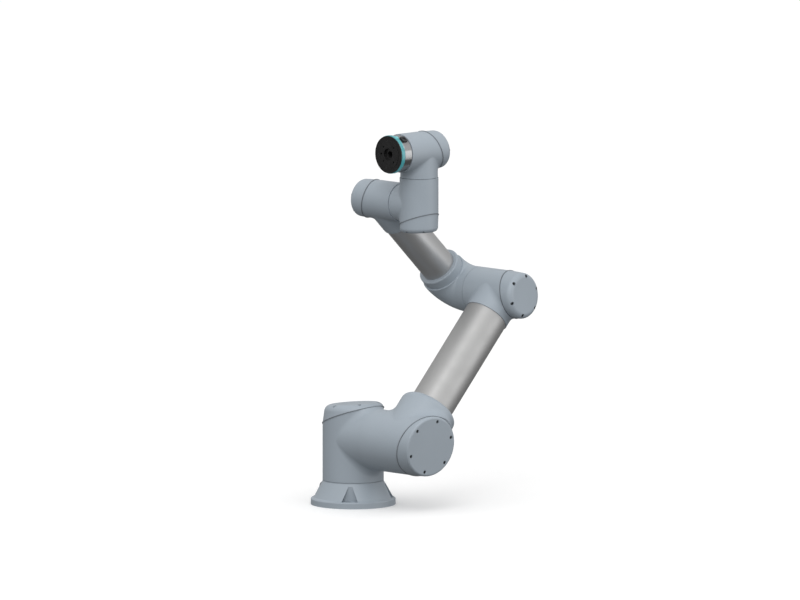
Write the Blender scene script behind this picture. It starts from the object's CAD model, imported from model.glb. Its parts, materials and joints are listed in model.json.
"""Looks for the robot arm: a finish for every piece of the frame, one lamp lens, studio and camera."""

import json

import bpy
import bmesh
from math import cos, radians, sin
from mathutils import Matrix, Vector


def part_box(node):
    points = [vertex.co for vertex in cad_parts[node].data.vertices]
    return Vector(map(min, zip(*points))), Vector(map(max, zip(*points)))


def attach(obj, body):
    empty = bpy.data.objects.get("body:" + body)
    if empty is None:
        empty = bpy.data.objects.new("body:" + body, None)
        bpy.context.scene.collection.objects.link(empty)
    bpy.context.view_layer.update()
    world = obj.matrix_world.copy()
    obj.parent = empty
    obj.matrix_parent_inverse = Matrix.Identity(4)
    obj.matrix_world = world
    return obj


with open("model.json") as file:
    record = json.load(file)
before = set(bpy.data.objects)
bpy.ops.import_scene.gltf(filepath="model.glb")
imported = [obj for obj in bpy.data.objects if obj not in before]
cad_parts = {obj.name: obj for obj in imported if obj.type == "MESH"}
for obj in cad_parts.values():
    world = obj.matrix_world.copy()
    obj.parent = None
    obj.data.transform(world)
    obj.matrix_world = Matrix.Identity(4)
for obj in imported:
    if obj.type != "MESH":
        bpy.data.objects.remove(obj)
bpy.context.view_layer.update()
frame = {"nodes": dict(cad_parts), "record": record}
nodes = frame["nodes"]
scene = bpy.context.scene
scene.view_settings.view_transform = "Standard"


# ---------------------------------------------------------------- material building blocks
class Shader:
    """A node material with a Principled shader, and short ways to add nodes to it."""

    def __init__(self, name, colour, roughness, metallic=0.0):
        self.material = bpy.data.materials.new(name)
        self.material.use_nodes = True
        self.tree = self.material.node_tree
        self.principled = self.tree.nodes["Principled BSDF"]
        self.set("Base Color", (*colour, 1.0))
        self.set("Metallic", metallic)
        self.set("Roughness", roughness)
        self.place = self.add("ShaderNodeTexCoord").outputs["Object"]
        self.material.diffuse_color = (*colour, 1.0)

    def add(self, kind, inputs=None, **settings):
        node = self.tree.nodes.new(kind)
        for key, value in settings.items():
            setattr(node, key, value)
        for key, value in (inputs or {}).items():
            if isinstance(value, bpy.types.NodeSocket):
                self.link(value, node.inputs[key])
            else:
                node.inputs[key].default_value = value
        return node

    def link(self, source, target):
        self.tree.links.new(source, target)

    def set(self, name, value):
        if isinstance(value, bpy.types.NodeSocket):
            self.link(value, self.principled.inputs[name])
        else:
            self.principled.inputs[name].default_value = value

    def noise(self, scale, detail):
        inputs = {"Vector": self.place, "Scale": scale, "Detail": detail}
        return self.add("ShaderNodeTexNoise", inputs).outputs["Fac"]

    def ramp(self, source, low, high, start=0.0, end=1.0):
        """source remapped from low..high to start..end, clamped."""
        inputs = {"Value": source, "From Min": low, "From Max": high, "To Min": start, "To Max": end}
        return self.add("ShaderNodeMapRange", inputs).outputs["Result"]

    def math(self, operation, a, b):
        return self.add("ShaderNodeMath", {0: a, 1: b}, operation=operation).outputs[0]

    def blend(self, factor, a, b):
        mix = self.add("ShaderNodeMix", {0: factor}, data_type="RGBA")
        for socket, value in ((mix.inputs[6], a), (mix.inputs[7], b)):
            if isinstance(value, bpy.types.NodeSocket):
                self.link(value, socket)
            else:
                socket.default_value = (*value, 1.0)
        return mix.outputs[2]

    def bump(self, height, distance, strength):
        inputs = {"Height": height, "Distance": distance, "Strength": strength}
        node = self.add("ShaderNodeBump", inputs)
        self.set("Normal", node.outputs["Normal"])

    def edges(self, radius):
        """1 near sharp edges, 0 elsewhere."""
        soft = self.add("ShaderNodeBevel", {"Radius": radius}, samples=4).outputs["Normal"]
        hard = self.add("ShaderNodeNewGeometry").outputs["Normal"]
        dot = self.add("ShaderNodeVectorMath", {0: soft, 1: hard}, operation="DOT_PRODUCT")
        return self.ramp(dot.outputs["Value"], 0.99, 0.90)


def mixed(colour, factor):
    """colour made lighter or darker by factor."""
    return tuple(min(1.0, c * factor) for c in colour)


# ---------------------------------------------------------------- finishes
def powder_coat(name, colour):
    """Satin powder coat: slight orange peel, cloudy gloss, and a lighter film worn thin at edges."""
    s = Shader(name, colour, roughness=0.45)
    cloud = s.noise(7.0, 3.0)
    speck = s.noise(900.0, 1.0)
    body = s.blend(s.ramp(cloud, 0.3, 0.7), mixed(colour, 0.97), mixed(colour, 1.03))
    body = s.blend(s.ramp(speck, 0.62, 0.72, 0.0, 0.12), body, mixed(colour, 1.5))
    wear = s.math("MULTIPLY", s.edges(0.0006), s.ramp(s.noise(60.0, 3.0), 0.4, 0.7, 0.1, 0.6))
    s.set("Base Color", s.blend(wear, body, mixed(colour, 1.35)))
    s.set("Roughness", s.ramp(s.math("ADD", cloud, s.noise(35.0, 2.0)), 0.7, 1.3, 0.40, 0.50))
    s.set("Specular IOR Level", 0.45)
    peel = s.math("ADD", s.noise(420.0, 1.0), s.math("MULTIPLY", s.noise(1500.0, 1.0), 0.4))
    s.bump(peel, 0.00010, 0.22)
    return s.material


def brushed(name, colour, across, rough, metallic=1.0):
    """Aluminium ground or turned round its girth: across is the direction that the grain is finest along."""
    s = Shader(name, colour, metallic=metallic, roughness=rough)
    along = s.add(
        "ShaderNodeVectorMath", {0: s.place, 1: across}, operation="DOT_PRODUCT"
    ).outputs["Value"]
    lines = s.add(
        "ShaderNodeTexNoise", {"W": s.math("MULTIPLY", along, 2600.0), "Detail": 3.0, "Scale": 1.0},
        noise_dimensions="1D",
    ).outputs["Fac"]
    patch = s.noise(30.0, 2.0)
    grain = s.blend(s.ramp(lines, 0.3, 0.7), mixed(colour, 0.93), mixed(colour, 1.04))
    s.set("Base Color", s.blend(s.ramp(patch, 0.35, 0.7, 0.0, 0.35), grain, mixed(colour, 0.96)))
    s.set("Roughness", s.ramp(s.math("ADD", lines, patch), 0.6, 1.4, rough - 0.05, rough + 0.06))
    s.bump(lines, 0.00005, 0.25)
    return s.material


def machined(name, colour, rough):
    """Turned or ground metal, with faint tool marks and brighter edges."""
    s = Shader(name, colour, metallic=1.0, roughness=rough)
    marks = s.noise(500.0, 4.0)
    body = s.blend(s.ramp(marks, 0.3, 0.7), mixed(colour, 0.9), mixed(colour, 1.08))
    s.set("Base Color", s.blend(s.math("MULTIPLY", s.edges(0.0003), 0.5), body, mixed(colour, 1.6)))
    s.set("Roughness", s.ramp(marks, 0.3, 0.7, rough - 0.04, rough + 0.08))
    s.bump(marks, 0.00003, 0.3)
    return s.material


def moulded(name, colour, rough):
    """Fine-grained moulded plastic or rubber."""
    s = Shader(name, colour, roughness=rough)
    grain = s.noise(1300.0, 2.0)
    cloud = s.noise(40.0, 2.0)
    s.set("Base Color", s.blend(s.ramp(cloud, 0.3, 0.7), mixed(colour, 0.85), mixed(colour, 1.2)))
    s.set("Roughness", s.ramp(grain, 0.3, 0.7, rough - 0.06, rough + 0.06))
    s.bump(grain, 0.00008, 0.4)
    return s.material


def black_anodised(name, colour, centre):
    """Black hard-anodised aluminium, turned round an X axis through centre, and rubbed bright at edges."""
    s = Shader(name, colour, roughness=0.22)
    offset = s.add("ShaderNodeVectorMath", {0: s.place, 1: centre}, operation="SUBTRACT").outputs["Vector"]
    flat = s.add("ShaderNodeVectorMath", {0: offset, 1: (0, 1, 1)}, operation="MULTIPLY").outputs["Vector"]
    radius = s.add("ShaderNodeVectorMath", {0: flat}, operation="LENGTH").outputs["Value"]
    rings = s.add(
        "ShaderNodeTexNoise", {"W": s.math("MULTIPLY", radius, 2500.0), "Detail": 2.0, "Scale": 1.0},
        noise_dimensions="1D",
    ).outputs["Fac"]
    cloud = s.noise(90.0, 3.0)
    wear = s.math("MULTIPLY", s.edges(0.0003), s.ramp(s.noise(240.0, 2.0), 0.4, 0.7, 0.15, 0.8))
    body = s.blend(s.ramp(cloud, 0.3, 0.7), mixed(colour, 0.7), mixed(colour, 1.4))
    s.set("Base Color", s.blend(wear, body, (0.20, 0.20, 0.20)))
    s.set("Roughness", s.ramp(s.math("ADD", cloud, rings), 0.7, 1.3, 0.14, 0.30))
    s.set("Specular IOR Level", 0.4)
    s.bump(rings, 0.00002, 0.25)
    return s.material


def light_ring(name, colour):
    """Translucent teal ring over a row of lamps, here only faintly lit."""
    s = Shader(name, colour, roughness=0.25)
    haze = s.noise(260.0, 2.0)
    s.set("Base Color", s.blend(s.ramp(haze, 0.3, 0.7), mixed(colour, 0.9), mixed(colour, 1.1)))
    s.set("Emission Color", (*colour, 1.0))
    s.set("Emission Strength", 0.25)
    s.set("Subsurface Weight", 0.15)
    s.set("Subsurface Radius", (0.002, 0.003, 0.003))
    s.set("Coat Weight", 0.4)
    s.bump(haze, 0.00004, 0.3)
    return s.material


def circuit_board(name):
    s = Shader(name, (0.02, 0.16, 0.07), roughness=0.35)
    tracks = s.add("ShaderNodeTexBrick", {"Vector": s.place, "Scale": 260.0, "Mortar Size": 0.03})
    s.set("Base Color", s.blend(tracks.outputs["Fac"], (0.015, 0.14, 0.06), (0.05, 0.3, 0.14)))
    s.bump(tracks.outputs["Fac"], 0.00004, 0.4)
    return s.material


COAT = (0.320, 0.367, 0.413)
ring_low, ring_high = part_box("tool_led_ring")
ring_centre = (ring_low + ring_high) / 2
UPPER_ARM_LEAN = radians(42.8)  # from upright towards +X, in the rest pose
FOREARM_LEAN = radians(-46.4)
upper_axis = Vector((sin(UPPER_ARM_LEAN), 0, cos(UPPER_ARM_LEAN)))
fore_axis = Vector((sin(FOREARM_LEAN), 0, cos(FOREARM_LEAN)))
finish = {
    "housing_paint": powder_coat("powder_coat_grey_blue", COAT),
    "seal_rubber": moulded("seal_rubber", (0.150, 0.167, 0.186), 0.6),
    "screw_steel": machined("blackened_steel", (0.06, 0.065, 0.07), 0.38),
    "gear_steel": machined("gear_steel", (0.42, 0.42, 0.42), 0.3),
    "stator_iron": machined("stator_iron", (0.20, 0.19, 0.18), 0.45),
    "board": circuit_board("circuit_board"),
    "flange_black": black_anodised("black_anodised", (0.010, 0.010, 0.010), ring_centre),
    "ring_polished": brushed("polished_ring", (0.29, 0.29, 0.295), (1, 0, 0), 0.16),
    "led_ring": light_ring("light_ring_teal", (0.045, 0.27, 0.30)),
    "connector_black": moulded("connector_black", (0.018, 0.018, 0.020), 0.45),
}
own_finish = {
    "upper_arm_tube": brushed("brushed_upper_tube", (0.390, 0.390, 0.388), upper_axis, 0.48, 0.7),
    "forearm_tube": brushed("brushed_forearm_tube", (0.46, 0.462, 0.465), fore_axis, 0.42, 0.8),
}
phosphated = machined("phosphated_steel", (0.10, 0.105, 0.11), 0.5)  # shows in the gaps between links
own_finish |= {name: phosphated for name in nodes if name.endswith("_output_flange")}
slot_of = {p["node"]: p["material_slot"] for p in frame["record"]["subparts"]}
for name, obj in nodes.items():
    material = own_finish.get(name) or finish[slot_of[name]]
    obj.data.materials.clear()
    obj.data.materials.append(material)


# ---------------------------------------------------------------- lamp lens on the light ring
LAMP_TURN = radians(27)  # from the top of the ring, towards -Y
LAMP_WIDTH, LAMP_LENGTH, LAMP_HEIGHT = 0.009, 0.009, 0.005
LAMP_SUNK = 0.001
DOME_POWER = 0.45  # below 1 the dome bulges out more than a half ellipse
CORNER_POWER = 0.6  # below 1 the foot is a rounded square and not an ellipse


def lens(name, width, length, height, rings=8, around=32):
    """A domed lens with a rounded square foot, its foot a little below z = 0."""
    mesh = bpy.data.meshes.new(name)
    bm = bmesh.new()
    corners = [radians(360 * i / around) for i in range(around)]
    loops = []
    for k in range(rings):
        angle = radians(90 * k / rings)
        shrink, level = cos(angle) ** DOME_POWER, sin(angle) * height
        loops.append([
            bm.verts.new((
                width / 2 * shrink * abs(cos(a)) ** CORNER_POWER * (1 if cos(a) > 0 else -1),
                length / 2 * shrink * abs(sin(a)) ** CORNER_POWER * (1 if sin(a) > 0 else -1),
                level - LAMP_SUNK,
            ))
            for a in corners
        ])
    for low, high in zip(loops, loops[1:]):
        for i in range(around):
            j = (i + 1) % around
            bm.faces.new((low[i], low[j], high[j], high[i]))
    bm.faces.new(loops[-1])
    bm.faces.new(reversed(loops[0]))
    for face in bm.faces:
        face.smooth = True
    bm.to_mesh(mesh)
    bm.free()
    obj = bpy.data.objects.new(name, mesh)
    scene.collection.objects.link(obj)
    return obj


outwards = Vector((0, -sin(LAMP_TURN), cos(LAMP_TURN)))
lamp = lens("ring_lamp_lens", LAMP_WIDTH, LAMP_LENGTH, LAMP_HEIGHT)
lamp.matrix_world = Matrix.Translation(
    ring_centre + outwards * (ring_high.z - ring_low.z) / 2
) @ Matrix((outwards.cross((1, 0, 0)), (1, 0, 0), outwards)).transposed().to_4x4()
lamp.data.materials.append(light_ring("lamp_lens_teal", (0.12, 0.42, 0.45)))
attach(lamp, "tool")


# ---------------------------------------------------------------- studio
FLOOR_RADIUS = 60.0
FLOOR_GLOW = 0.11  # lifts the floor to the photo's near white


def area_light(name, place, target, size, power):
    data = bpy.data.lights.new(name, "AREA")
    data.shape = "RECTANGLE"
    data.size, data.size_y = size
    data.energy = power
    light = bpy.data.objects.new(name, data)
    light.location = place
    light.rotation_euler = (Vector(target) - Vector(place)).to_track_quat("-Z", "Y").to_euler()
    light.visible_camera = False
    scene.collection.objects.link(light)
    return light


def floor():
    mesh = bpy.data.meshes.new("floor")
    bm = bmesh.new()
    bmesh.ops.create_circle(bm, cap_ends=True, segments=96, radius=FLOOR_RADIUS)
    bm.to_mesh(mesh)
    bm.free()
    obj = bpy.data.objects.new("floor", mesh)
    scene.collection.objects.link(obj)
    s = Shader("floor_white", (0.92, 0.92, 0.92), roughness=0.6)
    s.set("Base Color", s.blend(s.noise(0.8, 2.0), (0.915, 0.915, 0.915), (0.925, 0.925, 0.925)))
    s.set("Emission Color", (1.0, 1.0, 1.0, 1.0))
    s.set("Emission Strength", FLOOR_GLOW)
    obj.data.materials.append(s.material)
    obj.visible_diffuse = obj.visible_glossy = obj.visible_shadow = False


VIEW_TURN = radians(-44.5)
VIEW_LIFT = radians(7.5)
VIEW_DISTANCE = 58.8
VIEW_LENS = 1080.0  # in mm: so long that the view is nearly parallel
SENSOR_WIDTH = 36.0
AIM_RIGHT, AIM_ABOVE = 0.1147, 0.4986  # the picture's middle, from the frame's origin
FAR_CLIP = 200.0
right = Vector((cos(VIEW_TURN), sin(VIEW_TURN), 0))
back = Vector((sin(VIEW_TURN) * cos(VIEW_LIFT), -cos(VIEW_TURN) * cos(VIEW_LIFT), sin(VIEW_LIFT)))
above = back.cross(right)


def camera():
    data = bpy.data.cameras.new("camera")
    data.lens = VIEW_LENS
    data.sensor_width = SENSOR_WIDTH
    data.clip_end = FAR_CLIP
    cam = bpy.data.objects.new("camera", data)
    target = right * AIM_RIGHT + above * AIM_ABOVE
    cam.matrix_world = Matrix.Translation(target + back * VIEW_DISTANCE) @ Matrix(
        (right, above, back)
    ).transposed().to_4x4()
    scene.collection.objects.link(cam)
    scene.camera = cam


# strengths of the world's light from below and above, and what the two glows add
SKY_BELOW = 0.17
SKY_ABOVE = 0.76
SKY_GLOW = 0.62
SIDE_GLOW = 0.42


def soft_sky():
    """A studio's light: white above, dim below, with a broad glow from the front and one from the right."""
    world = bpy.data.worlds.new("studio")
    world.use_nodes = True
    tree = world.node_tree
    glow_from = (back * 0.75 - right * 0.22 + Vector((0, 0, 0.5))).normalized()
    side_from = (back * 0.35 + right * 0.85 + Vector((0, 0, 0.25))).normalized()

    def node(kind, inputs, **settings):
        made = tree.nodes.new(kind)
        for key, value in settings.items():
            setattr(made, key, value)
        for key, value in inputs.items():
            if isinstance(value, bpy.types.NodeSocket):
                tree.links.new(value, made.inputs[key])
            else:
                made.inputs[key].default_value = value
        return made.outputs

    def along(direction, low, high, start, end):
        dot = node("ShaderNodeVectorMath", {0: view, 1: direction}, operation="DOT_PRODUCT")["Value"]
        steps = {"Value": dot, "From Min": low, "From Max": high, "To Min": start, "To Max": end}
        return node("ShaderNodeMapRange", steps, interpolation_type="SMOOTHSTEP")["Result"]

    view = node("ShaderNodeTexCoord", {})["Generated"]
    level = along((0, 0, 1), -0.35, 0.55, SKY_BELOW, SKY_ABOVE)
    for glow in (along(glow_from, 0.3, 1.0, 0.0, SKY_GLOW), along(side_from, 0.5, 0.95, 0.0, SIDE_GLOW)):
        level = node("ShaderNodeMath", {0: level, 1: glow}, operation="ADD")[0]
    tree.links.new(level, tree.nodes["Background"].inputs["Strength"])
    tree.nodes["Background"].inputs["Color"].default_value = (1, 1, 1, 1)
    scene.world = world


LIT_POINT = Vector((0.1, -0.1, 0.45))  # about the middle of the arm
KEY_PLACE = LIT_POINT - right * 0.2 + back * 2.5 + Vector((0, 0, 2.0))
KEY_SIZE, KEY_POWER = (1.4, 1.4), 20
STRIP_PLACE = LIT_POINT + right * 2.8 + back * 0.7
STRIP_SIZE, STRIP_POWER = (1.4, 2.2), 13

floor()
camera()
area_light("key", KEY_PLACE, LIT_POINT, KEY_SIZE, KEY_POWER)
metal_strip = area_light("metal_strip", STRIP_PLACE, LIT_POINT, STRIP_SIZE, STRIP_POWER)
metal_strip.visible_diffuse = False  # it shows in reflections only
soft_sky()
